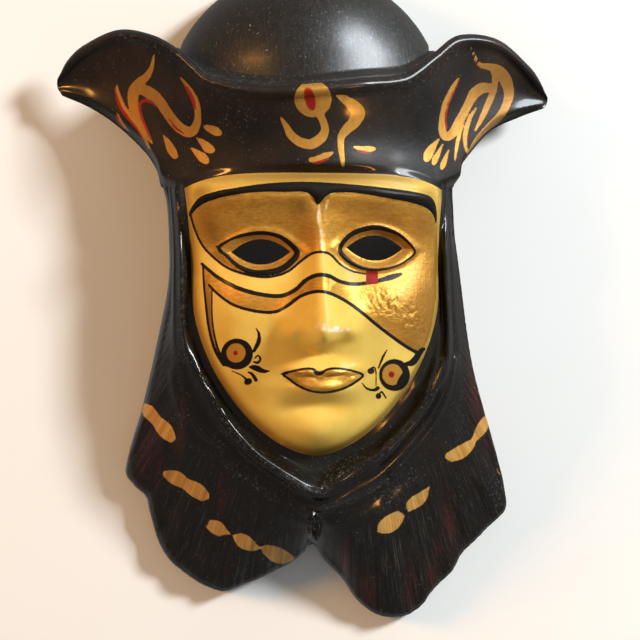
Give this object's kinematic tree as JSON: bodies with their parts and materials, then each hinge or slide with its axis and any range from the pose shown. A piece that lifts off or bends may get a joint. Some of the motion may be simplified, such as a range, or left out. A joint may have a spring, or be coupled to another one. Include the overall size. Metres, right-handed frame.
{
  "type": "venetian carnival mask",
  "caption": "Full-face carnival mask, a thin moulded shell with a winged tricorn hat and a pleated hood round the face, painted, gilded and lacquered.",
  "frame": {"origin": "middle of the outline, on the plane of the flat back rim that the mask lies on", "axes": "+Z out of the face, +Y towards the crown of the hat, +X towards the right of someone who looks at the face"},
  "size_m": [0.2836, 0.3804, 0.1093],
  "materials": {
    "lacquered_paper": "gloss"
  },
  "bodies": {
    "root": {"mask_shell": "lacquered_paper"}
  },
  "joints": []
}
